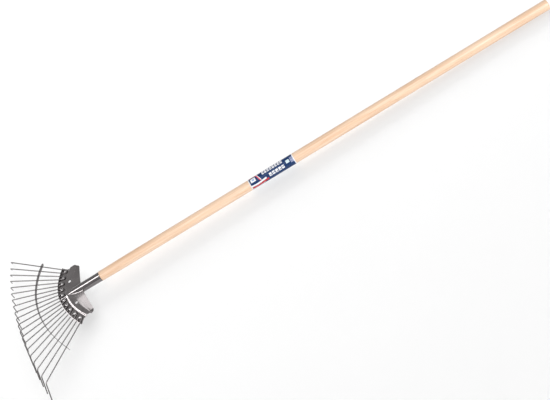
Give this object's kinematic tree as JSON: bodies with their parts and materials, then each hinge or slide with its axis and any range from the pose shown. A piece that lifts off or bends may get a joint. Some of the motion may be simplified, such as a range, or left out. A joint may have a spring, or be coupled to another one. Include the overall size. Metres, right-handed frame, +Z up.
{
  "type": "leaf rake",
  "caption": "Fan-shaped leaf rake: sprung wire tines in a pressed steel head, spread by a brace strip, on a long round wooden handle.",
  "frame": {"origin": "centre of the bottom of the bounding box, with the rake lying on its outer tine tips and the butt of its handle", "axes": "+Y along the handle from the tines to the butt, +X across the fan, +Z up, away from the ground the tips rest on"},
  "size_m": [0.4948, 1.5964, 0.0541],
  "materials": {
    "beech_wood": "sanded pale beech under a satin clear coat",
    "printed_label": "glossy navy blue printed film with white and red bands",
    "graphite_paint": "glossy graphite grey metallic paint on pressed steel",
    "spring_wire": "dark grey coated spring steel",
    "fastener_steel": "dull zinc plated steel"
  },
  "bodies": {
    "root": {"handle": "beech_wood", "handle_label": "printed_label", "socket": "graphite_paint", "socket_screw": "fastener_steel", "head_plate": "graphite_paint", "brace_strip": "spring_wire", "tine_pair_01": "spring_wire", "tine_pair_02": "spring_wire", "tine_pair_03": "spring_wire", "tine_pair_04": "spring_wire", "tine_pair_05": "spring_wire", "tine_pair_06": "spring_wire", "tine_pair_07": "spring_wire", "tine_pair_08": "spring_wire", "tine_pair_09": "spring_wire", "tine_pair_10": "spring_wire", "tine_stud_01": "fastener_steel", "tine_stud_02": "fastener_steel", "tine_stud_03": "fastener_steel", "tine_stud_04": "fastener_steel", "tine_stud_05": "fastener_steel", "tine_stud_06": "fastener_steel", "tine_stud_07": "fastener_steel", "tine_stud_08": "fastener_steel", "tine_stud_09": "fastener_steel", "tine_stud_10": "fastener_steel"}
  },
  "joints": []
}
